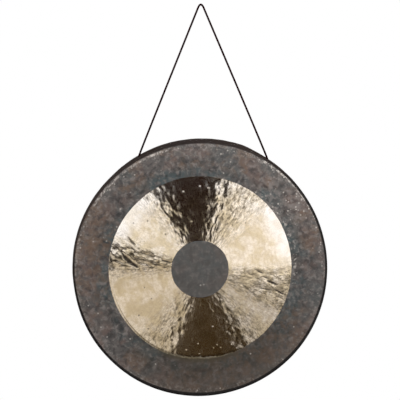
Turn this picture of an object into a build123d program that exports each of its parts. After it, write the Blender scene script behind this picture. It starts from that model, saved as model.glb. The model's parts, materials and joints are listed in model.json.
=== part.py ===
from build123d import *
from math import asin, atan2, cos, degrees, pi, radians, sin, sqrt, tan
import os

# A tam-tam gong hanging at rest on one cord. Millimetres, +Z up, the struck face towards -Y.
# The origin is where a hook bears on the inside of the cord's bend, and a hook isn't part of the object.

# The gong, one sheet of bronze: a flat disc with its rim turned back
gong_diameter = 600
rim_depth = 50
wall = 2
edge_radius = 6
lip_rounding = 0.6
polished_diameter = 434
centre_diameter = 134
scrape_depth = 0.3

# The two cord holes, drilled through the rim
hole_diameter = 6
hole_setback = 30

# The cord, and the stopper knots tied in its ends inside the rim
cord_diameter = 3.2
hook_diameter = 6.5
knot_diameter = 10
knot_gap = 0.3
tail_length = 14

gong_radius = gong_diameter / 2
cord_radius = cord_diameter / 2
bend_radius = hook_diameter / 2 + cord_radius
turning_stand_off = cord_diameter
stub_end_gap = 0.65 * cord_diameter

# Each half of the bend turns the cord by about 68 degrees, so its two corners stand a little further
# apart than the tangents of those two arcs reach.
bend_half_width = bend_radius * tan(radians(35))

# The cord's centreline, from where it turns off the left hole, over the hook, to the right hole
cord_route = [
    Vector(-145.6, 0, -351),
    Vector(-bend_half_width, 0, cord_radius),
    Vector(bend_half_width, 0, cord_radius),
    Vector(156.9, 0, -358),
]

# The gong turns about the line through the two points where the cord turns off it. The holes lie on
# that line's ends, at equal angles to each side of the gong's own top.
left_turn = cord_route[0]
right_turn = cord_route[-1]
turn_line = right_turn - left_turn
turn_axis = turn_line.normalized()
turn_middle = (left_turn + right_turn) * 0.5
turn_radius = gong_radius + turning_stand_off
hole_angle = asin(turn_line.length / 2 / turn_radius)
turn_height = turn_radius * cos(hole_angle)


def mouth_plane(face_plane, side):
    """Plane on the rim's outside at one hole, its normal along the hole: side -1 is left, 1 right."""
    outward = face_plane.x_dir * (side * sin(hole_angle)) + face_plane.y_dir * cos(hole_angle)
    middle = face_plane.origin - face_plane.z_dir * hole_setback + outward * gong_radius
    return Plane(middle, x_dir=face_plane.z_dir, z_dir=outward)


def make_gong(face_plane):
    """The gong with the middle of its face at the plane's origin and its front along the normal."""
    section = Plane(face_plane.origin, x_dir=face_plane.x_dir, z_dir=-face_plane.y_dir)
    polished_radius = polished_diameter / 2
    centre_radius = centre_diameter / 2
    with BuildPart() as gong:
        with BuildSketch(section) as profile:
            with BuildLine():
                Polyline(
                    (0, 0),
                    (centre_radius, 0),
                    (centre_radius, -scrape_depth),
                    (polished_radius, -scrape_depth),
                    (polished_radius, 0),
                    (gong_radius, 0),
                    (gong_radius, -rim_depth),
                    (gong_radius - wall, -rim_depth),
                    (gong_radius - wall, -wall),
                    (0, -wall),
                    close=True,
                )
            make_face()
            fillet(profile.vertices().group_by(Axis.Y)[0], lip_rounding)
            fillet(profile.vertices().group_by(Axis.X)[-1].sort_by(Axis.Y)[-1], edge_radius)
            inner_corners = profile.vertices().filter_by(
                lambda corner: abs(corner.X - gong_radius + wall) < wall / 4
            )
            fillet(inner_corners.sort_by(Axis.Y)[-1], edge_radius - wall)
        revolve(axis=Axis(face_plane.origin, face_plane.z_dir))
        with Locations(mouth_plane(face_plane, -1), mouth_plane(face_plane, 1)):
            Hole(hole_diameter / 2, depth=2 * wall)
    return gong.part


# The gong hangs with its centre of mass straight under the turning line. That line is behind the
# centre of mass, so the gong's foot swings back and its top leans forward.
flat_balance = make_gong(Plane.XY).center(CenterOf.MASS)
lean = atan2(flat_balance.Z + hole_setback, turn_height - flat_balance.Y)
hang_up = Vector(-turn_axis.Z, 0, turn_axis.X)
forward = Vector(0, -1, 0)
gong_up = hang_up * cos(lean) + forward * sin(lean)
gong_front = forward * cos(lean) - hang_up * sin(lean)
face_middle = turn_middle - gong_up * turn_height + gong_front * hole_setback
gong_plane = Plane(face_middle, x_dir=turn_axis, z_dir=gong_front)

os.makedirs("parts", exist_ok=True)

with BuildPart() as gong_body:
    add(make_gong(gong_plane))
gong_body.part.label = "gong_body"
export_step(gong_body.part, "parts/gong_body.step")

with BuildPart() as hanging_cord:
    with BuildLine() as cord_path:
        FilletPolyline(*cord_route, radius=[bend_radius, bend_radius])
    with BuildSketch(Plane(cord_path.line @ 0, z_dir=cord_path.line % 0)):
        Circle(cord_radius)
    sweep()
hanging_cord.part.label = "hanging_cord"
export_step(hanging_cord.part, "parts/hanging_cord.step")

# Each knot sits in the mouth of its hole on the inside of the rim, clear of the hole's edge by the knot
# gap. Its stub runs out through the hole, and stops short of the turning point by a gap that the cord's
# end can turn in. Its tail hangs straight down.
knot_seat = sqrt((knot_diameter / 2 + knot_gap) ** 2 - (hole_diameter / 2) ** 2)
knot_inset = wall + knot_seat
for node, side in (("left_knot", -1), ("right_knot", 1)):
    knot_plane = mouth_plane(gong_plane, side).offset(-knot_inset)
    with BuildPart() as knot:
        with BuildSketch(knot_plane):
            Circle(cord_radius)
        extrude(amount=knot_inset + turning_stand_off - stub_end_gap)
        with BuildSketch(Plane(knot_plane.origin, z_dir=(0, 0, -1))):
            Circle(cord_radius)
        extrude(amount=knot_diameter / 2 + tail_length)
        with Locations(knot_plane.origin):
            Sphere(knot_diameter / 2)
    knot.part.label = node
    export_step(knot.part, f"parts/{node}.step")

cord_length = sum(edge.length for edge in cord_path.line.edges())
cord_solid_share = hanging_cord.part.volume / (pi * cord_radius**2 * cord_length)
gong_balance = gong_body.part.center(CenterOf.MASS)
print("cord bend radii", bend_radius, bend_radius)
print("cord length", round(cord_length, 2), "and its solid over section times length", cord_solid_share)
print("hole angle each side of the gong's top", round(degrees(hole_angle), 3))
print("lean", round(degrees(lean), 3), "and the balance's distance from the hanging plane", gong_balance.Y)
print("turning line middle", tuple(turn_middle), "and direction", tuple(turn_axis))
print("face middle", tuple(face_middle), "and front", tuple(gong_front), "and top", tuple(gong_up))
print("gong volume", round(gong_body.part.volume), "and balance", tuple(gong_balance))
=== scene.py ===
"""A tam-tam gong of dark hammered bronze with a polished ring, hanging at rest on one braided cord."""

import json
import math

import bmesh
import bpy
import numpy as np
from bpy.props import FloatProperty, FloatVectorProperty, IntProperty, PointerProperty
from mathutils import Matrix, Vector


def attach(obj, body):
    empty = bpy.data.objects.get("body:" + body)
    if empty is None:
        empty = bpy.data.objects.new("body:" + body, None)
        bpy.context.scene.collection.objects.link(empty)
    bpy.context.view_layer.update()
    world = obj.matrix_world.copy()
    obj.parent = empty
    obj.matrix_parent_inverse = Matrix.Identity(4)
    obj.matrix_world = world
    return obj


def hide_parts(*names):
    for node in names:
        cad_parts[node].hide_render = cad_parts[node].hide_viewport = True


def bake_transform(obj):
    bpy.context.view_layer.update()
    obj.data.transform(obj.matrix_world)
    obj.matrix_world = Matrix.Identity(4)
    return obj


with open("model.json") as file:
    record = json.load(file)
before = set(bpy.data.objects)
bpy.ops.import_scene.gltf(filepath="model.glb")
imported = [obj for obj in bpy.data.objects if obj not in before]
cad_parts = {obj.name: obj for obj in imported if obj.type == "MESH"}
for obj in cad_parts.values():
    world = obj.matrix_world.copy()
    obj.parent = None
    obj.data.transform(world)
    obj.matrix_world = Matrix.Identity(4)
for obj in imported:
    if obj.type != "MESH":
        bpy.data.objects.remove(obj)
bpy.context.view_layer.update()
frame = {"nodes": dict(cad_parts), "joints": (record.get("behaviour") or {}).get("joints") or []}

bl_info = {
    "name": "Tam-tam Gong",
    "version": (1, 0, 0),
    "blender": (4, 5, 0),
    "location": "3D Viewport > Sidebar > Tam-tam",
    "description": "Builds a hammered bronze tam-tam, the cord it hangs on, and a plain studio around it",
    "category": "Add Mesh",
}

MM = 0.001

# The cord's centreline in metres: off the left hole, over the hook, and down to the right hole
CORD_ROUTE = (
    Vector((-0.1456, 0, -0.351)),
    Vector((-0.0034, 0, 0.0016)),
    Vector((0.0034, 0, 0.0016)),
    Vector((0.1569, 0, -0.358)),
)

# Small pits in the polished ring: clock angle from the gong's top in degrees, radius and width in mm
PITS = (
    (-14, 185, 4.2), (-2, 193, 3.4), (-12, 114, 4.0), (-21, 138, 3.6), (-49, 168, 4.2), (-46, 116, 4.2),
    (-57, 191, 3.0), (4, 190, 4.2), (5, 149, 3.4), (43, 150, 3.2), (-129, 181, 4.4), (-123, 134, 4.0),
    (-110, 138, 3.4), (-141, 187, 3.8), (-150, 188, 3.2), (-170, 89, 4.0), (-172, 195, 3.4), (-93, 152, 3.2),
    (-93, 111, 3.0), (166, 140, 4.2), (156, 195, 4.2), (164, 194, 3.4), (169, 191, 3.2), (166, 185, 3.0),
    (154, 208, 3.4), (156, 163, 3.2), (161, 105, 3.6), (180, 178, 3.2), (179, 202, 3.2), (137, 123, 3.2),
    (133, 192, 3.2), (47, 221, 4.0), (52, 222, 4.0), (56, 220, 4.0), (63, 221, 3.6), (-37, 224, 4.0),
    (-44, 227, 3.6), (47, 277, 4.4),
)

# How far the beaten outline stands off a true circle, in mm, at clock angles from the top
OUTLINE = (
    (0, 2.2), (20, 1.2), (45, 0.3), (73, -1.6), (90, -1.5), (104, -0.9), (132, 0.8), (162, 1.2), (180, 2.0),
    (198, 2.4), (219, 1.2), (230, 0.6), (256, -0.6), (270, -0.7), (287, -0.9), (314, -0.6), (342, 2.4),
)

# How much further the rim's cut edge stands out at the top, in mm
LIP_FLARE = ((-40, 0), (-18, 1.0), (0, 2.0), (10, 3.0), (19, 3.6), (24, 1.6), (32, 0.2), (45, 0), (180, 0))

# How strongly the scraper chattered round the ring, where 1 is a calm stretch
CHATTER = (
    (-104, 1), (-92, 2.2), (-78, 2.6), (-64, 1.2), (-48, 1.2), (-38, 2.0), (-27, 1.9), (-17, 1.2), (0, 1),
    (8, 1.4), (14, 2.4), (30, 2.8), (42, 1.8), (54, 1), (84, 1), (92, 2.2), (104, 3.0), (114, 2.7),
    (124, 1.3), (132, 2.0), (146, 2.6), (156, 1.6), (166, 1), (190, 1.1), (198, 2.2), (212, 2.4),
    (226, 1.2), (240, 1),
)

# Dents where the scraper caught, in mm on the face: from (x, y) to (x, y), width and depth
DENTS = (
    (-190, 38, -177, 22, 3.4, 0.50), (-178, 23, -165, 12, 4.4, 0.85), (-166, 12, -148, 1, 4.0, 0.75),
    (-213, 28, -206, -2, 4.5, 0.40), (-172, 68, -154, 50, 3.2, 0.42), (-150, 36, -112, 24, 4.0, 0.32),
    (-90, 19, -70, 14, 3.4, 0.48), (-196, 14, -170, 8, 3.6, 0.25), (-132, 10, -112, 4, 3.0, 0.30),
    (130, 0, 148, -9, 2.8, 0.50), (112, -8, 126, -15, 2.4, 0.38), (160, -27, 182, -36, 3.2, 0.62),
    (178, -48, 196, -58, 3.0, 0.55), (101, -36, 120, -52, 3.2, 0.40), (140, -44, 168, -49, 3.0, 0.42),
    (66, -24, 84, -32, 3.0, 0.38), (182, -64, 198, -70, 2.4, 0.38), (150, -18, 164, -22, 2.4, 0.40),
)

# Light cards: clock angles from and to, colour, strength, and how much brighter away from the middle
CARDS = (
    ("card_upper_right", 14.5, 96, (1.0, 0.97, 0.95), 0.93, 0.7),
    ("card_right", 96, 109, (1.0, 0.96, 0.92), 0.70, 0.2),
    ("card_lower_right", 109, 149.5, (1.0, 0.96, 0.94), 0.72, 0.0),
    ("card_below", 149.5, 196.5, (1.0, 0.60, 0.18), 0.048, 0.0),
    ("card_lower_left", 196.5, 272, (1.0, 0.93, 0.84), 0.80, 0.0),
    ("card_upper_left", 281, 328.5, (1.0, 0.98, 0.97), 0.88, 0.7),
)
CARD_STEPS = 12

# Lamps: place, what they point at, size in metres and power in watts
LAMPS = (
    ("top_lamp", (0.25, -0.85, 0.25), (0, 0, -0.5), 0.6, 10.5),
    ("front_lamp", (0.3, -2.6, -0.2), (0, 0, -0.6), 1.4, 19),
    ("back_lamp_left", (-2.6, 1.3, 0.7), (0, 0, -0.6), 1.6, 130),
    ("rear_lamp", (0.6, 3.0, 0.4), (0, 0, -0.6), 1.6, 90),
    ("back_lamp_right", (2.6, 1.1, 0.5), (0, 0, -0.6), 1.6, 110),
)

CAMERA_AIM = Vector((-0.0019, 0, -0.4553))
SENSOR_WIDTH = 36
FLOOR_RADIUS = 2.4
FLOOR_HEIGHT = -1.35

# The braid's radius over the cord's nominal one: its body, the swell of a strand and its crossings
BRAID_BODY, BRAID_SWELL, BRAID_OVER = 1.35, 0.07, 0.02
HOOK_REACH = 19 * MM
PASSAGE_END, PASSAGE_START = -3.5 * MM, 0.5 * MM
BLEND_ABOVE, BLEND_BELOW = 12 * MM, 1 * MM

FULL_TURN = 720
PIT_DEPTH, PIT_LIP = 0.26, 0.05
# Where the dark disc and the polished ring sit, in mm off the gong's middle
DISC_SHIFT = (-1.8, 1.6)
RING_SHIFT = (-1.2, 4.4)


def length_property(name, description, metres):
    return FloatProperty(name=name, description=description, default=metres, unit="LENGTH")


def angle_property(name, description, degrees):
    return FloatProperty(
        name=name, description=description, default=math.radians(degrees), subtype="ANGLE"
    )


def colour_property(name, description, *rgb):
    return FloatVectorProperty(name=name, description=description, subtype="COLOR", size=3, default=rgb)


class GongSettings(bpy.types.PropertyGroup):
    wall: length_property("Wall", "Thickness of the bronze sheet", 2 * MM)
    edge_radius: length_property("Edge radius", "Radius where the face turns into the rim", 6 * MM)
    polished_radius: length_property("Polished radius", "Outer radius of the polished ring", 216 * MM)
    centre_radius: length_property("Centre radius", "Radius of the dark disc in the middle", 67 * MM)
    scrape_depth: length_property(
        "Scrape depth", "How deep the ring is scraped into the dark skin", 0.3 * MM
    )
    hole_diameter: length_property("Hole", "Diameter of each cord hole in the rim", 6 * MM)
    hammer_depth: length_property("Hammer marks", "Depth of the hammer marks in the dark band", 0.22 * MM)
    waviness: length_property("Waviness", "Height of the slow waves left by hammering", 0.6 * MM)
    chatter_depth: length_property(
        "Chatter", "Height of the ripples that the scraper left in the ring", 0.06 * MM
    )
    seed: IntProperty(name="Seed", description="Changes where the random marks fall", default=7)
    patina: colour_property("Patina", "Colour of the dark fired skin", 0.088, 0.079, 0.073)
    patina_warm: colour_property("Warm patches", "Mauve-brown patches in the skin", 0.126, 0.090, 0.078)
    patina_cool: colour_property("Cool patches", "Grey-green patches in the skin", 0.055, 0.074, 0.077)
    patina_rust: colour_property("Rusty patches", "Orange-brown patches in the skin", 0.145, 0.090, 0.058)
    patina_pale: colour_property("Pale skin", "Where the skin is rubbed thin", 0.205, 0.182, 0.170)
    patina_dark: colour_property("Dark skin", "Where the skin is thickest", 0.026, 0.024, 0.025)
    # Painted shade: a darker, browner colour for the face's lower part, away from the light above
    patina_bottom_shade: colour_property("Brown skin", "The browner skin towards the bottom", 0.036, 0.025, 0.015)
    patina_olive: colour_property(
        "Olive skin", "The thin film of skin under the ring", 0.050, 0.038, 0.019
    )
    # Worn metal, also the colour of the painted highlight and glints along the face's edge
    worn: colour_property("Worn metal", "Chips and rubbed specks in the skin", 0.50, 0.46, 0.42)
    # Soot and painted shade: the rim's dark colour also paints the shade where the rim turns away from the
    # light; the scraper's dents use it too
    soot_and_shade: colour_property("Rim soot", "The rim, blackened by firing", 0.027, 0.021, 0.019)
    # The blackest painted shade with soot, on the turned edge away from the lit upper left
    soot_and_shade_blackest: colour_property("Thick soot", "The blackest part of the turned edge", 0.006, 0.005, 0.005)
    bronze: colour_property("Bronze", "Colour of the scraped, polished metal", 0.94, 0.85, 0.72)
    bronze_dull: colour_property("Dull bronze", "Colour of the duller streaks in the metal", 0.60, 0.49, 0.34)
    bronze_smoky: colour_property("Smoky bronze", "Dull streaks where the scraper caught", 0.16, 0.13, 0.085)
    bronze_faded: colour_property(
        "Faded bronze", "The thin dark film at the ring's lower edge", 0.072, 0.058, 0.034
    )
    # Painted highlight colour: the white of the ring's upper outer part, where it mirrors the brightest light
    bronze_highlight: colour_property("White bronze", "Where the ring is burnished brightest", 0.99, 0.96, 0.93)
    bronze_tan: colour_property("Tan bronze", "Colour of the warmer clouds in the metal", 0.74, 0.63, 0.44)


class CordSettings(bpy.types.PropertyGroup):
    diameter: length_property("Diameter", "Diameter of the braided cord", 3.2 * MM)
    braid_pitch: length_property("Braid pitch", "Length of one turn of a strand", 13 * MM)
    strands: IntProperty(name="Strands", description="Strands that run each way round", default=4)
    knot_size: length_property("Knot", "Size of each stopper knot", 10 * MM)
    tail: length_property("Tail", "Length of cord left below each knot", 14 * MM)
    colour: colour_property("Colour", "Colour of the cord", 0.010, 0.0015, 0.0022)
    colour_worn: colour_property("Worn colour", "Colour of the rubbed strands", 0.026, 0.006, 0.008)


class StudioSettings(bpy.types.PropertyGroup):
    distance: length_property("Distance", "From the camera to the gong's cord", 8.0)
    elevation: angle_property("Elevation", "Camera above the horizon", 3.2)
    azimuth: angle_property("Azimuth", "Camera round to the left", -4.5)
    width: length_property("Width", "Width of the view at the cord", 0.9364)
    card_distance: length_property("Card distance", "From the gong to the light cards", 2.6)
    card_radius: length_property("Card radius", "How far the light cards reach from their middle", 2.6)
    ambient: FloatProperty(name="Ambient", description="Strength of the dim room light", default=0.012)


def settings():
    scene = bpy.context.scene
    return scene.tam_tam_gong, scene.tam_tam_cord, scene.tam_tam_studio


# ---------------------------------------------------------------- the gong's own axes


def gong_place():
    """The gong's axes at rest as a matrix, with its radius and depth. Local X runs along the line it
    swings on, Y up its face and Z out of its face, from the middle of the face."""
    mesh = frame["nodes"]["gong_body"].data
    front = Vector()
    for face in mesh.polygons:
        if face.normal.y < -0.99:
            front += face.normal * face.area
    front.normalize()
    across = Vector(frame["joints"][0]["axis"])
    across = (across - front * across.dot(front)).normalized()
    up = front.cross(across)
    turn = np.array((across, up, front))
    points = np.array([v.co for v in mesh.vertices]) @ turn.T
    low, high = points.min(0), points.max(0)
    middle = np.array(((low[0] + high[0]) / 2, (low[1] + high[1]) / 2, high[2])) @ turn
    place = Matrix(turn.T.tolist()).to_4x4()
    place.translation = Vector(middle)
    return place, (high[0] - low[0]) / 2, high[2] - low[2]


GONG_PLACE, GONG_RADIUS, RIM_DEPTH = gong_place()
TURNS = [GONG_PLACE.inverted() @ point for point in (CORD_ROUTE[0], CORD_ROUTE[-1])]


# ---------------------------------------------------------------- small helpers


def link(obj):
    bpy.context.scene.collection.objects.link(obj)
    return obj


def smooth_step(value, low, high):
    t = np.clip((value - low) / (high - low), 0, 1)
    return t * t * (3 - 2 * t)


def lattice_noise(u, v, seed, around=256):
    """Smooth random heights from -1 to 1, one bump to a unit. It repeats after this many units of u."""
    grid = np.random.default_rng(seed).uniform(-1, 1, (around, 256))
    i, j = np.floor(u).astype(int), np.floor(v).astype(int)
    s, t = u - i, v - j
    s, t = s * s * (3 - 2 * s), t * t * (3 - 2 * t)
    i, j, i1, j1 = i % around, j % 256, (i + 1) % around, (j + 1) % 256
    near = grid[i, j] * (1 - s) + grid[i1, j] * s
    far = grid[i, j1] * (1 - s) + grid[i1, j1] * s
    return near * (1 - t) + far * t


def flat_noise(x, y, size, seed):
    return lattice_noise(x / size, y / size, seed)


def round_noise(angle, r, number, size, seed):
    """Noise that runs round the gong: this many bumps in a full turn, each this long outwards."""
    return lattice_noise(angle / math.tau * number, r / size, seed, around=number)


def by_angle(angle, table):
    """A value at each angle, smooth between the (degrees from the top, value) pairs of a table."""
    degrees = np.degrees(angle) % 360
    corners = sorted((a % 360, value) for a, value in table)
    places = np.array([a for a, _ in corners])
    values = np.array([value for _, value in corners])
    places = np.concatenate((places - 360, places, places + 360))
    values = np.tile(values, 3)
    fine = np.arange(-60, 421, 1.0)
    drawn = np.interp(fine, places, values)
    soft = np.convolve(np.pad(drawn, 4, mode="edge"), np.hanning(9) / np.hanning(9).sum(), mode="valid")
    return np.interp(degrees, fine, soft)


# ---------------------------------------------------------------- the cord


def smooth_line(points, steps):
    """Points along the NURBS curve that has these control points, from one end to the other."""
    curve = bpy.data.curves.new("line", "CURVE")
    curve.dimensions = "3D"
    spline = curve.splines.new("NURBS")
    spline.points.add(len(points) - 1)
    for target, point in zip(spline.points, points):
        target.co = (*point, 1)
    spline.order_u = 3
    spline.use_endpoint_u = True
    spline.resolution_u = steps
    obj = link(bpy.data.objects.new("line", curve))
    bpy.context.view_layer.update()
    mesh = bpy.data.meshes.new_from_object(obj)
    line = [v.co.copy() for v in mesh.vertices]
    bpy.data.objects.remove(obj)
    bpy.data.curves.remove(curve)
    bpy.data.meshes.remove(mesh)
    return line


def even_line(line, spacing):
    """The same line with its points a fixed distance apart."""
    points = np.array(line)
    along = np.concatenate(([0], np.cumsum(np.linalg.norm(np.diff(points, axis=0), axis=1))))
    count = max(2, round(along[-1] / spacing)) + 1
    want = np.linspace(0, along[-1], count)
    return np.stack([np.interp(want, along, points[:, k]) for k in range(3)], axis=1), want


def braided_tube(name, line, diameter, pitch, strands, shape=None, material=None, spacing=0.55 * MM):
    """A closed tube along the line, with the crossing strands of a round braid standing out of it."""
    points, along = even_line(line, spacing)
    tangents = np.gradient(points, axis=0)
    tangents /= np.linalg.norm(tangents, axis=1)[:, None]
    sides = []
    side = Vector(tangents[0]).orthogonal().normalized()
    for tangent in tangents:
        tangent = Vector(tangent)
        side = (side - tangent * side.dot(tangent)).normalized()
        sides.append(side.copy())
    sides = np.array(sides)
    others = np.cross(tangents, sides)
    around = strands * 6
    angle = np.arange(around) * math.tau / around
    s = along[:, None] / pitch
    u = strands * (angle[None, :] / math.tau + s)
    v = strands * (angle[None, :] / math.tau - s)
    swell = np.sqrt(np.abs(np.sin(math.pi * u) * np.sin(math.pi * v)))
    over = 0.5 + 0.5 * np.sign(np.sin(math.pi * u) * np.sin(math.pi * v))
    radius = diameter / 2 * (BRAID_BODY + BRAID_SWELL * swell + BRAID_OVER * over)
    if shape is not None:
        radius = radius * shape(along, along[-1])[:, None]
    cosine, sine = np.cos(angle)[None, :, None], np.sin(angle)[None, :, None]
    ring = cosine * sides[:, None, :] + sine * others[:, None, :]
    verts = (points[:, None, :] + ring * radius[:, :, None]).reshape(-1, 3)
    verts = np.concatenate((verts, [points[0], points[-1]]))
    rows = len(points)
    faces = []
    for i in range(rows - 1):
        for j in range(around):
            k = (j + 1) % around
            faces.append((i * around + j, i * around + k, (i + 1) * around + k, (i + 1) * around + j))
    first, last = rows * around, rows * around + 1
    for j in range(around):
        k = (j + 1) % around
        faces.append((first, k, j))
        faces.append((last, (rows - 1) * around + j, (rows - 1) * around + k))
    mesh = bpy.data.meshes.new(name)
    mesh.from_pydata(verts.tolist(), [], faces)
    mesh.update()
    mesh.shade_smooth()
    braid = mesh.attributes.new("braid", "FLOAT", "POINT")
    braid.data.foreach_set("value", np.append(swell.reshape(-1), (0.5, 0.5)).astype(np.float32))
    mesh.materials.append(material)
    return link(bpy.data.objects.new(name, mesh))


def hole_ray(turn):
    """Where a cord hole points: the unit direction away from the gong's middle, in its own axes."""
    return Vector((turn.x, turn.y, 0)).normalized()


def hole_point(turn, radius):
    return GONG_PLACE @ (hole_ray(turn) * radius + Vector((0, 0, turn.z)))


def knot_line(turn, size, tail):
    """An overhand stopper knot inside the rim, from the hole to its hanging tail."""
    ray = hole_ray(turn)
    inner = GONG_RADIUS - 2 * MM
    across = Vector((0, 0, 1))
    other = ray.cross(across)
    basis = Matrix((across, other, -ray)).transposed().to_4x4()
    down = (GONG_PLACE.inverted().to_3x3() @ Vector((0, 0, -1))).normalized()
    middle = ray * (inner - size * 0.5) + Vector((0, 0, turn.z))
    reach = size * 0.5 - 1.6 * MM
    points = [ray * (inner + step * MM) + Vector((0, 0, turn.z)) for step in (1.2, -0.4)]
    turns = 16
    for i in range(turns + 1):
        t = math.radians(35 + 290 * i / turns)
        flat = Vector((
            (math.sin(t) + 2 * math.sin(2 * t)) / 3,
            (math.cos(t) - 2 * math.cos(2 * t)) / 3,
            -math.sin(3 * t) * 0.52,
        ))
        points.append(middle + (basis @ flat) * reach)
    end = middle + down * (size * 0.5)
    points.append(end + down * 1.5 * MM + ray * 1 * MM)
    points += [end + down * tail * share for share in (0.5, 0.78, 1)]
    return [GONG_PLACE @ p for p in points]


# ---------------------------------------------------------------- shader parts


class Signal:
    """A number that runs through a shader, so that masks can be written as sums and products."""

    def __init__(self, socket):
        self.socket = socket
        self.tree = socket.id_data

    def join(self, operation, other=0.5, clamp=False):
        return join(self.tree, operation, self, other, clamp)

    def __add__(self, other):
        return self.join("ADD", other)

    def __sub__(self, other):
        return self.join("SUBTRACT", other)

    def __rsub__(self, other):
        return join(self.tree, "SUBTRACT", other, self)

    def __mul__(self, other):
        return self.join("MULTIPLY", other)

    def __abs__(self):
        return self.join("ABSOLUTE")

    def larger(self, other):
        return self.join("MAXIMUM", other)

    def less(self, other):
        return self.join("SUBTRACT", other, clamp=True)


def feed(value, socket):
    """Links an output to the socket, or sets a plain number, vector or colour on it."""
    if isinstance(value, Signal):
        value = value.socket
    if isinstance(value, bpy.types.NodeSocket):
        socket.id_data.links.new(value, socket)
    elif socket.type == "RGBA":
        socket.default_value = (*value[:3], 1)
    else:
        socket.default_value = value


def node(tree, kind, values=None, **properties):
    """One node, with its properties, and with values or links on its inputs."""
    made = tree.nodes.new(kind)
    for key, value in properties.items():
        setattr(made, key, value)
    for key, value in (values or {}).items():
        feed(value, made.inputs[key])
    return made


def join(tree, operation, first, second, clamp=False):
    made = node(tree, "ShaderNodeMath", {0: first, 1: second}, operation=operation, use_clamp=clamp)
    return Signal(made.outputs[0])


def ramp(value, low, high):
    """0 below low and 1 above high, smooth between."""
    made = node(
        value.tree, "ShaderNodeMapRange", {"Value": value, "From Min": low, "From Max": high},
        interpolation_type="SMOOTHSTEP",
    )
    return Signal(made.outputs["Result"])


def band(value, low, full, fall, end):
    """A mask that rises from low to full, and falls again from fall to end."""
    return ramp(value, low, full) * (1.0 - ramp(value, fall, end))


def axes(vector):
    return [Signal(part) for part in node(vector.id_data, "ShaderNodeSeparateXYZ", {0: vector}).outputs]


def distance(vector, point):
    away = node(vector.id_data, "ShaderNodeVectorMath", {0: vector, 1: point}, operation="DISTANCE")
    return Signal(away.outputs["Value"])


def noise(vector, **values):
    made = node(vector.id_data, "ShaderNodeTexNoise", {"Vector": vector, **values})
    return Signal(made.outputs["Fac"])


def attribute(tree, name):
    return Signal(node(tree, "ShaderNodeAttribute", attribute_name=name).outputs["Fac"])


def bumped(height, strength, depth, normal=None):
    made = node(height.tree, "ShaderNodeBump", {"Strength": strength, "Distance": depth, "Height": height})
    if normal is not None:
        feed(normal, made.inputs["Normal"])
    return made.outputs[0]


def blend(mask, first, second):
    return node(mask.tree, "ShaderNodeMix", {0: mask, 6: first, 7: second}, data_type="RGBA").outputs[2]


def layered(colour, *layers):
    """A colour with further ones laid over it, each as (mask, colour)."""
    for mask, top in layers:
        colour = blend(mask, colour, top)
    return colour


def new_group(name, values, outputs):
    """An empty shader group: a Vector and number inputs with these values, and outputs by their kind."""
    tree = bpy.data.node_groups.new(name, "ShaderNodeTree")
    tree.interface.new_socket("Vector", in_out="INPUT", socket_type="NodeSocketVector")
    for label, value in values.items():
        socket = tree.interface.new_socket(label, in_out="INPUT", socket_type="NodeSocketFloat")
        socket.default_value = value
    for label, kind in outputs.items():
        tree.interface.new_socket(label, in_out="OUTPUT", socket_type="NodeSocket" + kind)
    return tree, tree.nodes.new("NodeGroupInput").outputs, tree.nodes.new("NodeGroupOutput").inputs


def mottle_group():
    """Cloudy patches of uneven size, as a mask from 0 to 1."""
    _, given, result = new_group("Mottle", {"Scale": 10.0, "Low": 0.42, "High": 0.6}, {"Mask": "Float"})
    cloud = noise(given["Vector"], Scale=given["Scale"], Detail=5.0, Roughness=0.62, Distortion=0.4)
    feed(ramp(cloud, given["Low"], given["High"]), result["Mask"])


def polar_group():
    """The radius round the gong's middle, and a place vector that makes any texture run round it."""
    tree, given, result = new_group(
        "Round the Gong", {"Around": 1.0, "Outward": 1.0}, {"Radius": "Float", "Place": "Vector"}
    )

    def vector_maths(operation, values):
        return node(tree, "ShaderNodeVectorMath", values, operation=operation).outputs

    flat = vector_maths("MULTIPLY", {0: given["Vector"], 1: (1, 1, 0)})[0]
    radius = Signal(vector_maths("LENGTH", {0: flat})["Value"])
    unit = vector_maths("NORMALIZE", {0: flat})[0]
    circle = vector_maths("SCALE", {0: unit, "Scale": given["Around"]})[0]
    rise = node(tree, "ShaderNodeCombineXYZ", {"Z": radius * given["Outward"]}).outputs[0]
    feed(radius, result["Radius"])
    feed(vector_maths("ADD", {0: circle, 1: rise})[0], result["Place"])


def speck_group():
    """Small scattered specks, as a mask from 0 to 1."""
    tree, given, result = new_group("Specks", {"Scale": 200.0, "Size": 0.3, "Share": 0.2}, {"Mask": "Float"})
    cells = node(tree, "ShaderNodeTexVoronoi", {"Vector": given["Vector"], "Scale": given["Scale"]}).outputs
    dot = (Signal(given["Size"]) - cells["Distance"]).join("MULTIPLY", 8.0, clamp=True)
    split = node(tree, "ShaderNodeSeparateColor", {0: cells["Color"]})
    feed(dot * Signal(split.outputs[0]).join("LESS_THAN", given["Share"]), result["Mask"])


GROUPS = {"Mottle": mottle_group, "Round the Gong": polar_group, "Specks": speck_group}


def place_group(name, vector, **values):
    """The outputs of one shared group in this vector's material. The first use makes the group."""
    if name not in bpy.data.node_groups:
        GROUPS[name]()
    group = bpy.data.node_groups[name]
    return node(vector.id_data, "ShaderNodeGroup", {"Vector": vector, **values}, node_tree=group).outputs


def clouds(vector, scale, low, high):
    return Signal(place_group("Mottle", vector, Scale=scale, Low=low, High=high)["Mask"])


def specks(vector, scale, size, share):
    return Signal(place_group("Specks", vector, Scale=scale, Size=size, Share=share)["Mask"])


def round_gong(vector, around, outward):
    return place_group("Round the Gong", vector, Around=around, Outward=outward)


def start_material(name, **values):
    """A material with these values on its shader, as (material, tree, shader inputs)."""
    material = bpy.data.materials.new(name)
    material.use_nodes = True
    inputs = material.node_tree.nodes["Principled BSDF"].inputs
    for key, value in values.items():
        feed(value, inputs[key.replace("_", " ")])
    return material, material.node_tree, inputs


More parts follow.
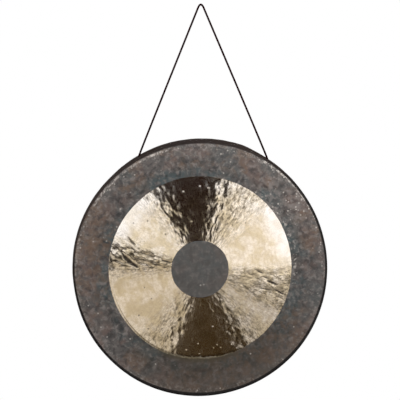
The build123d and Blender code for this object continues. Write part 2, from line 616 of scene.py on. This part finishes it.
def patina_material(gong):
    """The dark fired skin: mottled grey-brown oxide, sooty and painted with shade on the rim, and worn and
    painted with a highlight at the face's edge.
    """
    material, tree, inputs = start_material("fired_patina", Specular_IOR_Level=0.3)
    place = node(tree, "ShaderNodeTexCoord").outputs["Object"]
    x, y, z = axes(place)

    def moved(dx, dy):
        return node(tree, "ShaderNodeMapping", {"Vector": place, "Location": (dx, dy, 0.4)}).outputs[0]

    def patch(px, py, near, far, strength):
        """A soft round patch of the face, as a mask."""
        return (1.0 - ramp(distance(place, (px, py, 0)), near, far)) * strength

    polar = round_gong(place, 7.0, 45.0)
    radius = Signal(polar["Radius"])
    front = ramp(z, -0.0016, -0.0009)
    outward = ramp(radius, 0.228, 0.262)
    flecks = clouds(moved(1.2, 8.4), 60.0, 0.44, 0.60)
    film = band(radius, 0.150, 0.190, 0.2130, 0.2270) * 0.75 * (patch(0.0, -0.215, 0.06, 0.13, 1.0) * front)
    colour = layered(
        gong.patina,
        (clouds(place, 14.0, 0.40, 0.56) * (outward * 0.75 + 0.25), gong.patina_warm),
        (clouds(moved(3.1, 1.7), 15.0, 0.38, 0.56).less(outward * 0.45), gong.patina_cool),
        (clouds(moved(-2.3, 5.2), 17.0, 0.50, 0.60) * (outward * 0.5 + 0.15), gong.patina_rust),
        (clouds(moved(6.4, -1.1), 85.0, 0.45, 0.66) * 0.78, gong.patina_pale),
        (clouds(moved(-4.0, -3.5), 55.0, 0.46, 0.66) * 0.78, gong.patina_dark),
        (clouds(polar["Place"], 1.0, 0.40, 0.7) * 0.3, gong.patina_dark),
        (patch(0.19, 0.17, 0.03, 0.12, 0.55) * flecks, gong.patina_pale),
        (patch(-0.25, 0.02, 0.04, 0.15, 0.5) * flecks, gong.patina_rust),
        (patch(0.15, -0.20, 0.08, 0.19, 0.5) * flecks, gong.patina_rust),
        # Painted shade: the face darker and browner towards the bottom, away from the light above
        (patch(0.06, -0.27, 0.10, 0.30, 0.55), gong.patina_bottom_shade),
        (film, gong.patina_olive),
        # The disc in the middle has the plain skin, and the face is rubbed paler towards its edge
        ((0.6 - ramp(radius, 0.066, 0.070) * 0.6) * front, gong.patina),
        (ramp(radius, 0.240, 0.282) * 0.09, gong.patina_pale),
    )
    # A broken bright line along the edge of the face: wear where hands and mallets touch, and a painted
    # highlight where the face turns into the rim, brightest on the upper sides where the light falls
    chips = round_gong(place, 42.0, 120.0)["Place"]
    broken = clouds(chips, 1.0, 0.44, 0.58) * clouds(place, 9.0, 0.40, 0.56)
    sideways = ramp(abs(x), 0.05, 0.13)
    lit_and_handled = ramp(y, 0.0, 0.14) * sideways * 0.8 + 0.2
    line = band(radius, 0.2905, 0.2925, 0.2960, 0.2972) * broken * lit_and_handled
    halo = ramp(radius, 0.276, 0.2925) * clouds(place, 150.0, 0.52, 0.66)
    worn = line.larger(halo * 0.30).larger(specks(place, 130.0, 0.30, 0.035) * 0.55)
    # Crisp specks along the face's upper edge, painted glints where the light from above catches it, and in
    # one rubbed place
    along = band(radius, 0.281, 0.290, 0.2935, 0.2950) * (ramp(y, -0.04, 0.08) * sideways)
    where = along.larger(patch(0.205, 0.17, 0.02, 0.09, 0.75))
    worn = worn.larger(specks(place, 165.0, 0.40, 0.24) * where * 0.9)
    # Chips beside the ring, where the scraper slipped
    beside = band(radius, 0.2165, 0.2185, 0.223, 0.232) * clouds(moved(7.7, 2.9), 120.0, 0.54, 0.62) * front
    worn = worn.larger(beside * (ramp(x, 0.08, 0.16) * (ramp(y, -0.10, 0.06) * 0.7)))
    # Soot and painted shade cover the rim and, away from the upper left where the light falls, most of the
    # turned edge, where they are thickest and the painted shade is blackest
    lit_upper_left = ramp(y - x * 0.5, 0.05, 0.25)
    wider = ramp(x - y * 0.7, 0.02, 0.22) * 0.0018
    soot_and_shade = ramp(radius + wider - lit_upper_left * 0.0040, 0.2932, 0.2948)
    thick_soot_and_shade = ramp(z, -0.014, -0.006) * (1.0 - lit_upper_left)
    lip = ramp(z * -1.0, RIM_DEPTH - 0.003, RIM_DEPTH) * broken
    colour = layered(
        colour,
        (worn, gong.worn),
        (soot_and_shade * 0.96, blend(thick_soot_and_shade, gong.soot_and_shade, gong.soot_and_shade_blackest)),
        (lip * 0.55, gong.worn),
    )
    feed(colour, inputs["Base Color"])
    fine = clouds(place, 120.0, 0.3, 0.7)
    rough = node(tree, "ShaderNodeMapRange", {"Value": fine, "To Min": 0.42, "To Max": 0.62})
    feed(rough.outputs["Result"], inputs["Roughness"])
    grain = noise(place, Scale=260.0, Detail=4.0, Roughness=0.6)
    feed(bumped(grain + fine, 0.6, 0.25 * MM), inputs["Normal"])
    return material


def bronze_material(gong):
    """The scraped ring: bright bronze with fine turned lines, chatter marks and duller streaks."""
    material, tree, inputs = start_material(
        "polished_bronze", Specular_IOR_Level=0.1, Roughness=0.17, Anisotropic=1.0, Anisotropic_Rotation=0.25
    )
    place = node(tree, "ShaderNodeTexCoord").outputs["Object"]
    x, y, _ = axes(place)
    streaks = round_gong(place, 5.0, 140.0)
    radius = Signal(streaks["Radius"])
    cloud = clouds(place, 26.0, 0.40, 0.62)
    # Ragged stretches, where the scraper left dull streaks that run outwards, and dents where it caught
    ragged = attribute(tree, "ragged")
    coarse = clouds(round_gong(place, 24.0, 64.0)["Place"], 1.0, 0.44, 0.60)
    fine = clouds(round_gong(place, 60.0, 150.0)["Place"], 1.0, 0.46, 0.58)
    torn = (coarse * 0.52 + fine * 0.46) * ragged
    caught = ramp(attribute(tree, "caught") - fine * 0.35, 0.25, 0.85) * 0.97
    stained = attribute(tree, "stained").join("MULTIPLY", 0.9, clamp=True)
    # The scraping fades out towards the ring's lower edge, with a last turned line inside it
    low_side = 1.0 - ramp(y, -0.15, -0.02)
    left_side = 1.0 - ramp(x, -0.13, -0.03)
    skewed = radius + abs(x) * -0.055 + (coarse + fine) * 0.0020
    fade = ramp(skewed, 0.2000, 0.2125) * low_side * 0.97
    turned = band(radius, 0.2086, 0.2096, 0.2106, 0.2116) * low_side * (left_side * 0.8)
    calm = 0.9 - (ragged + cloud) * 0.3
    # Painted highlight: the ring's outer part on its upper half is whitened where it mirrors the brightest
    # light
    painted_highlight = ramp(radius, 0.168, 0.210) * ramp(y, -0.02, 0.06) * calm
    colour = layered(
        gong.bronze,
        (cloud, gong.bronze_tan),
        (clouds(streaks["Place"], 1.0, 0.4, 0.75) * 0.5, gong.bronze_dull),
        (clouds(place, 120.0, 0.38, 0.68) * 0.50, gong.bronze_dull),
        (painted_highlight, gong.bronze_highlight),
        (torn, gong.bronze_smoky),
        (caught, gong.soot_and_shade),
        (turned, gong.bronze_smoky),
        (stained, gong.bronze_faded),
        (fade, gong.bronze_faded),
    )
    feed(colour, inputs["Base Color"])
    feed(1.0 - ramp(fade, 0.58, 0.92), inputs["Metallic"])
    tangent = node(tree, "ShaderNodeTangent", direction_type="RADIAL", axis="Z")
    feed(tangent.outputs[0], inputs["Tangent"])
    # The turned lines lean outwards like saw teeth, so the ring as a whole mirrors what is outside it
    chatter = round_gong(place, 30.0, 100.0)
    slope = bumped(Signal(chatter["Radius"]) * -0.16, 1.0, 1.0)
    ripple = noise(chatter["Place"], Scale=1.0, Detail=1.5, Roughness=0.5)
    feed(bumped(ripple, 1.0, 0.09 * MM, slope), inputs["Normal"])
    return material


def cord_material(cord):
    """Dark braided cord, paler on the crowns of its strands."""
    material, tree, inputs = start_material("braided_cord", Roughness=0.9, Specular_IOR_Level=0.06)
    place = node(tree, "ShaderNodeTexCoord").outputs["Object"]
    worn = ramp(attribute(tree, "braid"), 0.45, 1.0) * clouds(place, 60.0, 0.4, 0.7)
    feed(blend(worn, cord.colour, cord.colour_worn), inputs["Base Color"])
    feed(bumped(noise(place, Scale=1800.0, Detail=3.0), 0.5, 0.1 * MM), inputs["Normal"])
    return material


# ---------------------------------------------------------------- the gong


def ring_rows(gong):
    """Every ring of points as (radius, height, points round it, polished), from the middle of the
    face out over the rim and back to the middle behind."""
    outer, inner, edge, wall = gong.polished_radius, gong.centre_radius, gong.edge_radius, gong.wall
    half = FULL_TURN // 2

    def count(radius):
        for limit, share in ((150, 1), (75, 2), (36, 4), (18, 8), (9, 24)):
            if radius > limit * MM:
                return FULL_TURN // share
        return FULL_TURN // 72

    def span(low, high, step):
        return list(np.linspace(low, high, max(2, round((high - low) / step)) + 1))

    face = [(r, 0.0, False) for r in span(3.5 * MM, inner - 1.2 * MM, 2.6 * MM)]
    face += [(inner - 0.35 * MM, 0.0, False)]
    face += [(inner + 0.35 * MM, -gong.scrape_depth, True)]
    face += [(r, -gong.scrape_depth, True) for r in span(inner + 1.2 * MM, outer - 1.2 * MM, 2.35 * MM)]
    face += [(outer - 0.35 * MM, -gong.scrape_depth, True), (outer + 0.35 * MM, 0.0, False)]
    face += [(r, 0.0, False) for r in span(outer + 1.2 * MM, GONG_RADIUS - edge, 2.5 * MM)]
    rows = [(r, z, count(r), polished) for r, z, polished in face]
    for i in range(1, 7):
        a = math.pi / 2 * i / 6
        rows.append((GONG_RADIUS - edge + edge * math.sin(a), edge * (math.cos(a) - 1), FULL_TURN, False))
    lip = 0.6 * MM
    low = -RIM_DEPTH + lip
    quarter = [math.pi / 2 * i / 4 for i in range(1, 5)]
    for z in span(-edge, low, 4.4 * MM)[1:]:
        rows.append((GONG_RADIUS, z, FULL_TURN, False))
    for a in quarter:
        rows.append((GONG_RADIUS - lip + lip * math.cos(a), low - lip * math.sin(a), FULL_TURN, False))
    for a in quarter:
        rows.append((GONG_RADIUS - wall + lip - lip * math.sin(a), low - lip * math.cos(a), FULL_TURN, False))
    for z in span(low, -edge, 5 * MM)[1:]:
        rows.append((GONG_RADIUS - wall, z, half, False))
    bend = edge - wall
    for a in quarter:
        rows.append((GONG_RADIUS - edge + bend * math.cos(a), -edge + bend * math.sin(a), half, False))
    for r in reversed(span(6 * MM, GONG_RADIUS - edge, 5 * MM)[:-1]):
        rows.append((r, -wall, min(half, count(r)), False))
    return rows


def outline_shift(angle):
    """How far the hand-beaten outline stands off a true circle at each angle from the top."""
    return by_angle(angle, OUTLINE) * MM


def hammer_marks(x, y, seed):
    """Shallow round dents in rings over the dark band, and a few in the middle disc."""
    rng = np.random.default_rng(seed)
    depth = np.zeros_like(x)
    spacing = 12.5
    for ring in np.arange(16, 292, 10.5):
        number = max(4, int(math.tau * ring / spacing))
        start = rng.uniform(0, math.tau)
        for i in range(number):
            angle = start + (i + rng.uniform(-0.35, 0.35)) * math.tau / number
            r = (ring + rng.uniform(-3.5, 3.5)) * MM
            size = rng.uniform(5.5, 9.5) * MM
            strength = rng.uniform(0.15, 1.0)
            dx, dy = x - r * math.sin(angle), y - r * math.cos(angle)
            near = np.flatnonzero(dx * dx + dy * dy < size * size)
            d = (dx[near] ** 2 + dy[near] ** 2) / size**2
            depth[near] += strength * (1 - d) ** 2
    return depth


def relief(x, y, gong):
    """Height of the beaten sheet off a true plane: slow waves, hammer marks, the scraper's ripples and
    its dents, and how deep those dents alone are in mm."""
    r, angle = np.hypot(x, y), np.arctan2(x, y)
    fade = 1 - smooth_step(r, GONG_RADIUS - 14 * MM, GONG_RADIUS - 2 * MM)
    waves = 0.7 * flat_noise(x, y, 95 * MM, gong.seed) + 0.3 * flat_noise(x, y, 41 * MM, gong.seed + 1)
    polished = smooth_step(r, gong.centre_radius - MM, gong.centre_radius + MM) * (
        1 - smooth_step(r, gong.polished_radius - MM, gong.polished_radius + MM)
    )
    dents = hammer_marks(x, y, gong.seed + 2) * (1 - 0.9 * polished)
    chatter = (
        round_noise(angle, r, 96, 13 * MM, gong.seed + 8)
        + 0.7 * round_noise(angle, r, 190, 6.5 * MM, gong.seed + 9)
        + 0.9 * flat_noise(x, y, 15 * MM, gong.seed + 10) + 0.5 * flat_noise(x, y, 7 * MM, gong.seed + 11)
    ) * by_angle(angle, CHATTER)
    lift = gong.waviness * waves * (1 - 0.6 * polished) - gong.hammer_depth * dents
    lift += gong.chatter_depth * polished * chatter
    caught = np.zeros_like(x)
    for x0, y0, x1, y1, width, depth in DENTS:
        run = np.array((x1 - x0, y1 - y0)) * MM
        near = np.clip(((x - x0 * MM) * run[0] + (y - y0 * MM) * run[1]) / run.dot(run), 0, 1)
        away = np.hypot(x - x0 * MM - near * run[0], y - y0 * MM - near * run[1])
        dent = depth * (1 - (near - 0.5) ** 2) * np.exp(-((away / (width * MM)) ** 2))
        lift -= dent * MM
        caught += dent
    return fade * lift, caught


def gong_mesh(gong):
    """The whole gong as one closed mesh in its own axes."""
    rows = ring_rows(gong)
    verts, starts, turned = [], [], []
    for r, z, number, _ in rows:
        starts.append(len(verts))
        angle = np.arange(number) * math.tau / number
        verts.extend(zip(r * np.sin(angle), r * np.cos(angle), np.full(number, z)))
    front_pole, back_pole = len(verts), len(verts) + 1
    verts += [(0, 0, 0), (0, 0, -gong.wall)]
    faces, polished = [], []

    def face(*corners, bright=False):
        faces.append(corners[::-1])
        polished.append(bright)

    for k in range(len(rows) - 1):
        a, b = starts[k], starts[k + 1]
        na, nb = rows[k][2], rows[k + 1][2]
        bright = rows[k][3] and rows[k + 1][3]
        if na == nb:
            for j in range(na):
                i = (j + 1) % na
                face(a + j, b + j, b + i, a + i, bright=bright)
            continue
        # Each point of the row with fewer points gets a fan of triangles to the other row
        outwards = nb > na
        few, many, coarse, fine = (na, nb, a, b) if outwards else (nb, na, b, a)
        share = many // few

        def fan(one, two, three):
            face(*((one, two, three) if outwards else (two, one, three)), bright=bright)

        for j in range(few):
            i = (j + 1) % few
            for m in range(share):
                place = j * share + m
                fan(coarse + (j if m < share / 2 else i), fine + place, fine + (place + 1) % many)
                if m == math.ceil(share / 2) - 1 and m + 1 < share:
                    fan(coarse + j, fine + place + 1, coarse + i)
    for j in range(rows[0][2]):
        face(front_pole, starts[0] + j, starts[0] + (j + 1) % rows[0][2])
    for j in range(rows[-1][2]):
        face(starts[-1] + j, back_pole, starts[-1] + (j + 1) % rows[-1][2])
    mesh = bpy.data.meshes.new("gong_body_bronze")
    mesh.from_pydata([tuple(map(float, v)) for v in verts], [], faces)
    for polygon, bright in zip(mesh.polygons, polished):
        polygon.material_index = int(bright)
    mesh.update()
    return mesh


def sink_pits(mesh):
    """Cuts finer faces round each pit and sinks it into the face, with a small raised lip."""
    bm = bmesh.new()
    bm.from_mesh(mesh)
    stained = bm.verts.layers.float.new("stained")
    bm.verts.ensure_lookup_table()
    centres = [
        (Vector((r * MM * math.sin(math.radians(a)), r * MM * math.cos(math.radians(a)), 0)), w * MM)
        for a, r, w in PITS
    ]
    front = [f for f in bm.faces if f.normal.z > 0.5]
    middles = np.array([f.calc_center_median()[:2] for f in front])
    edges = set()
    for centre, width in centres:
        far = np.hypot(middles[:, 0] - centre.x, middles[:, 1] - centre.y)
        for i in np.flatnonzero(far < width * 0.85):
            edges.update(front[i].edges)
    bmesh.ops.subdivide_edges(bm, edges=list(edges), cuts=3, use_grid_fill=True)
    bmesh.ops.triangulate(bm, faces=[f for f in bm.faces if len(f.verts) > 4])
    places = [v for v in bm.verts if v.co.z > -1 * MM]
    co = np.array([v.co for v in places])
    for (centre, width), (clock, _, _) in zip(centres, PITS):
        far = np.hypot(co[:, 0] - centre.x, co[:, 1] - centre.y) / (width / 2)
        for i in np.flatnonzero(far < 1.6):
            d = far[i]
            places[i][stained] = max(0, 1.15 - d) if 30 < abs(clock) < 150 else 0
            bowl, brim = max(0, 1 - d * d) ** 1.5, math.exp(-((d - 1.1) / 0.3) ** 2)
            places[i].co.z += (-PIT_DEPTH * bowl + PIT_LIP * brim) * MM
    bm.to_mesh(mesh)
    bm.free()


def beat_gong(mesh, gong):
    """Moves every point from the true turned shape to the hand-beaten one, wall and all."""
    co = np.zeros(len(mesh.vertices) * 3)
    mesh.vertices.foreach_get("co", co)
    x, y, z = co.reshape(-1, 3).T.copy()
    r = np.hypot(x, y)
    angle = np.arctan2(x, y)
    lift, caught = relief(x, y, gong)
    for name, value in (("ragged", (by_angle(angle, CHATTER) - 1) / 1.5), ("caught", caught * 2)):
        made = mesh.attributes.new(name, "FLOAT", "POINT")
        made.data.foreach_set("value", np.clip(value, 0, 1).astype(np.float32))
    grow = smooth_step(r, 60 * MM, GONG_RADIUS) * outline_shift(angle)
    frayed = round_noise(angle, r * 0, 220, 1, gong.seed + 5)
    for border in (gong.centre_radius, gong.polished_radius):
        grow += 0.3 * MM * np.exp(-((r - border) / (2.2 * MM)) ** 2) * frayed
    rim = smooth_step(-z, 2 * MM, 10 * MM)
    beaten = 0.25 * round_noise(angle, z, 126, 15 * MM, gong.seed + 3)
    beaten += 0.4 * round_noise(angle, z, 31, 60 * MM, gong.seed + 4)
    grow += rim * beaten * MM
    grow += smooth_step(-z, 8 * MM, RIM_DEPTH) * by_angle(angle, LIP_FLARE) * MM
    x += np.sin(angle) * grow
    y += np.cos(angle) * grow
    z += lift
    # The dark disc and the polished ring sit a little off the middle
    stops = np.array((0, gong.centre_radius, gong.polished_radius, gong.polished_radius + 50 * MM))
    on_face = 1 - smooth_step(r, GONG_RADIUS - 30 * MM, GONG_RADIUS - 8 * MM)
    for place, disc, ring in zip((x, y), DISC_SHIFT, RING_SHIFT):
        place += on_face * np.interp(r, stops, (disc * MM, disc * MM, ring * MM, 0))
    mesh.vertices.foreach_set("co", np.stack((x, y, z), axis=1).reshape(-1))
    mesh.update()


def drill_holes(obj, diameter):
    """Bores both cord holes through the rim, along the gong's radius."""
    bm = bmesh.new()
    for turn in TURNS:
        ray = hole_ray(turn)
        middle = ray * (GONG_RADIUS - 1 * MM) + Vector((0, 0, turn.z))
        spin = ray.to_track_quat("Z", "Y").to_matrix().to_4x4()
        bmesh.ops.create_cone(
            bm, cap_ends=True, segments=32, radius1=diameter / 2, radius2=diameter / 2, depth=16 * MM,
            matrix=Matrix.Translation(middle) @ spin,
        )
    mesh = bpy.data.meshes.new("drills")
    bm.to_mesh(mesh)
    bm.free()
    mesh.materials.append(obj.data.materials[0])
    drills = link(bpy.data.objects.new("drills", mesh))
    cut = obj.modifiers.new("holes", "BOOLEAN")
    cut.operation = "DIFFERENCE"
    cut.solver = "EXACT"
    cut.object = drills
    bpy.context.view_layer.update()
    made = bpy.data.meshes.new_from_object(obj.evaluated_get(bpy.context.evaluated_depsgraph_get()))
    obj.modifiers.clear()
    old = obj.data
    obj.data = made
    bpy.data.meshes.remove(old)
    bpy.data.objects.remove(drills)
    bpy.data.meshes.remove(mesh)


# ---------------------------------------------------------------- the operators


class TAMTAM_OT_studio(bpy.types.Operator):
    """Make the camera, the light cards and lamps, the pale floor and the room's dim light"""

    bl_idname = "tamtam.studio"
    bl_label = "Studio"
    bl_options = {"REGISTER", "UNDO"}

    def execute(self, context):
        studio = settings()[2]
        scene = context.scene
        camera = bpy.data.cameras.new("camera")
        camera.sensor_width = SENSOR_WIDTH
        camera.lens = SENSOR_WIDTH * studio.distance / studio.width
        obj = link(bpy.data.objects.new("camera", camera))
        level = math.cos(studio.elevation)
        back = Vector((
            math.sin(studio.azimuth) * level, -math.cos(studio.azimuth) * level, math.sin(studio.elevation)
        ))
        obj.location = CAMERA_AIM + back * studio.distance
        obj.rotation_euler = (-back).to_track_quat("-Z", "Y").to_euler()
        camera.clip_end = 50
        scene.camera = obj
        scene.view_settings.view_transform = "Standard"
        world = bpy.data.worlds.new("room")
        world.use_nodes = True
        scene.world = world
        tree = world.node_tree
        dim = tree.nodes["Background"]
        feed((1.0, 0.28, 0.02), dim.inputs["Color"])
        feed(studio.ambient, dim.inputs["Strength"])
        white = node(tree, "ShaderNodeBackground", {"Color": (1, 1, 1)})
        seen = node(tree, "ShaderNodeLightPath").outputs["Is Camera Ray"]
        mix = node(tree, "ShaderNodeMixShader", {0: seen, 1: dim.outputs[0], 2: white.outputs[0]})
        feed(mix.outputs[0], tree.nodes["World Output"].inputs[0])
        self.light_cards(studio, back)
        for lamp in LAMPS:
            self.lamp(*lamp)
        self.floor()
        return {"FINISHED"}

    def light_cards(self, studio, back):
        """Cards of light round the line that the gong's face mirrors. There is a dark gap above, a
        narrow one at the left, and a very dim card below."""
        front = GONG_PLACE.to_3x3() @ Vector((0, 0, 1))
        axis = (2 * front.dot(back) * front - back).normalized()
        across = Vector((0, 0, 1)).cross(axis).normalized()
        up = across.cross(axis)
        if up.z < 0:
            up = -up
        middle = GONG_PLACE.translation + axis * studio.card_distance
        for name, low, high, colour, strength, rise in CARDS:
            points = [middle]
            for i in range(CARD_STEPS + 1):
                a = math.radians(low + (high - low) * i / CARD_STEPS)
                points.append(middle + (across * math.sin(a) + up * math.cos(a)) * studio.card_radius)
            mesh = bpy.data.meshes.new(name)
            mesh.from_pydata(points, [], [(0, i + 1, i + 2) for i in range(CARD_STEPS)])
            material = bpy.data.materials.new(name)
            material.use_nodes = True
            tree = material.node_tree
            tree.nodes.clear()
            # Brighter away from the middle, and a little uneven, as light through cloth is
            place = node(tree, "ShaderNodeTexCoord").outputs["Object"]
            uneven = node(tree, "ShaderNodeMapRange", {
                "Value": noise(place, Scale=3.2, Detail=2.0),
                "From Min": 0.3, "From Max": 0.7, "To Min": 0.78, "To Max": 1.22,
            }).outputs["Result"]
            bright = (ramp(distance(place, middle), 0.85, 1.35) * rise + 1.0) * uneven * strength
            glow = node(tree, "ShaderNodeEmission", {"Color": colour, "Strength": bright})
            node(tree, "ShaderNodeOutputMaterial", {0: glow.outputs[0]})
            mesh.materials.append(material)
            card = link(bpy.data.objects.new(name, mesh))
            card.visible_camera = False
            card.visible_diffuse = False
            card.visible_shadow = False

    def lamp(self, name, place, aim, size, power):
        light = bpy.data.lights.new(name, "AREA")
        light.size = size
        light.energy = power
        obj = link(bpy.data.objects.new(name, light))
        obj.location = place
        obj.rotation_euler = (Vector(aim) - Vector(place)).to_track_quat("-Z", "Y").to_euler()
        obj.visible_camera = False
        obj.visible_glossy = False

    def floor(self):
        bm = bmesh.new()
        bmesh.ops.create_circle(bm, cap_ends=True, segments=96, radius=FLOOR_RADIUS)
        mesh = bpy.data.meshes.new("floor")
        bm.to_mesh(mesh)
        bm.free()
        mesh.materials.append(start_material("pale_floor", Base_Color=(0.8, 0.79, 0.77), Roughness=0.8)[0])
        obj = link(bpy.data.objects.new("floor", mesh))
        obj.location.z = FLOOR_HEIGHT
        obj.visible_glossy = False


class TAMTAM_OT_cord(bpy.types.Operator):
    """Make the braided cord from one hole over the hook to the other, with its two stopper knots"""

    bl_idname = "tamtam.cord"
    bl_label = "Cord and knots"
    bl_options = {"REGISTER", "UNDO"}

    def execute(self, context):
        cord = settings()[1]
        material = cord_material(cord)
        left, right = TURNS
        hook = CORD_ROUTE[1:3]
        near = [a + (b - a).normalized() * HOOK_REACH for a, b in zip(hook, (CORD_ROUTE[0], CORD_ROUTE[3]))]
        inside, outside = GONG_RADIUS + PASSAGE_END, GONG_RADIUS + PASSAGE_START
        points = [
            hole_point(left, inside), hole_point(left, outside), CORD_ROUTE[0], near[0], *hook, near[1],
            CORD_ROUTE[3], hole_point(right, outside), hole_point(right, inside),
        ]
        line = smooth_line(points, 48)
        braid = (cord.diameter, cord.braid_pitch, cord.strands)
        obj = braided_tube("hanging_cord_braid", line, *braid, material=material)

        def frayed(along, full):
            tip = smooth_step(along, full - 3 * MM, full - 0.4 * MM)
            return (0.96 + 0.22 * tip) * np.where(along > full - 0.3 * MM, 0.75, 1)

        for name, turn in (("left_knot_tied", left), ("right_knot_tied", right)):
            tied = smooth_line(knot_line(turn, cord.knot_size, cord.tail), 12)
            knot = braided_tube(name, tied, *braid, shape=frayed, material=material, spacing=0.4 * MM)
            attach(knot, "gong")
        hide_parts("left_knot")
        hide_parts("right_knot")
        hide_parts("hanging_cord")
        pivot = (CORD_ROUTE[0] + CORD_ROUTE[3]) / 2
        turn_line = (CORD_ROUTE[3] - CORD_ROUTE[0]).normalized()
        upward = Vector((-turn_line.z, 0, turn_line.x))
        start, end = pivot + upward * BLEND_ABOVE, pivot - upward * BLEND_BELOW
        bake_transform(obj)
        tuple(start)
        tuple(end)
        even, along = even_line(line, 2 * MM)
        hole_point(left, GONG_RADIUS)
        return {"FINISHED"}


class TAMTAM_OT_gong(bpy.types.Operator):
    """Make the hammered bronze gong with its polished ring, its rim and the two cord holes"""

    bl_idname = "tamtam.gong"
    bl_label = "Gong"
    bl_options = {"REGISTER", "UNDO"}

    def execute(self, context):
        gong = settings()[0]
        mesh = gong_mesh(gong)
        sink_pits(mesh)
        beat_gong(mesh, gong)
        mesh.materials.append(patina_material(gong))
        mesh.materials.append(bronze_material(gong))
        obj = link(bpy.data.objects.new("gong_body_bronze", mesh))
        drill_holes(obj, gong.hole_diameter)
        obj.data.shade_smooth()
        obj.data.set_sharp_from_angle(angle=math.radians(50))
        obj.matrix_world = GONG_PLACE
        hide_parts("gong_body")
        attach(obj, "gong")
        return {"FINISHED"}


class TAMTAM_PT_panel(bpy.types.Panel):
    """The tam-tam's pieces, in the order that they are made"""

    bl_idname = "TAMTAM_PT_panel"
    bl_label = "Tam-tam"
    bl_space_type = "VIEW_3D"
    bl_region_type = "UI"
    bl_category = "Tam-tam"

    def draw(self, context):
        operators = (TAMTAM_OT_gong, TAMTAM_OT_cord, TAMTAM_OT_studio)
        for group, operator in reversed(list(zip(settings(), operators))):
            box = self.layout.box()
            for name in group.bl_rna.properties.keys():
                if name not in ("rna_type", "name"):
                    box.prop(group, name)
            box.operator(operator.bl_idname)


CLASSES = (
    GongSettings, CordSettings, StudioSettings,
    TAMTAM_OT_studio, TAMTAM_OT_cord, TAMTAM_OT_gong, TAMTAM_PT_panel,
)


def register():
    for cls in CLASSES:
        bpy.utils.register_class(cls)
    bpy.types.Scene.tam_tam_gong = PointerProperty(type=GongSettings)
    bpy.types.Scene.tam_tam_cord = PointerProperty(type=CordSettings)
    bpy.types.Scene.tam_tam_studio = PointerProperty(type=StudioSettings)


def unregister():
    del bpy.types.Scene.tam_tam_gong, bpy.types.Scene.tam_tam_cord, bpy.types.Scene.tam_tam_studio
    for cls in reversed(CLASSES):
        bpy.utils.unregister_class(cls)


def main():
    register()
    bpy.ops.tamtam.studio()
    bpy.ops.tamtam.cord()
    bpy.ops.tamtam.gong()


if __name__ == "__main__":
    main()
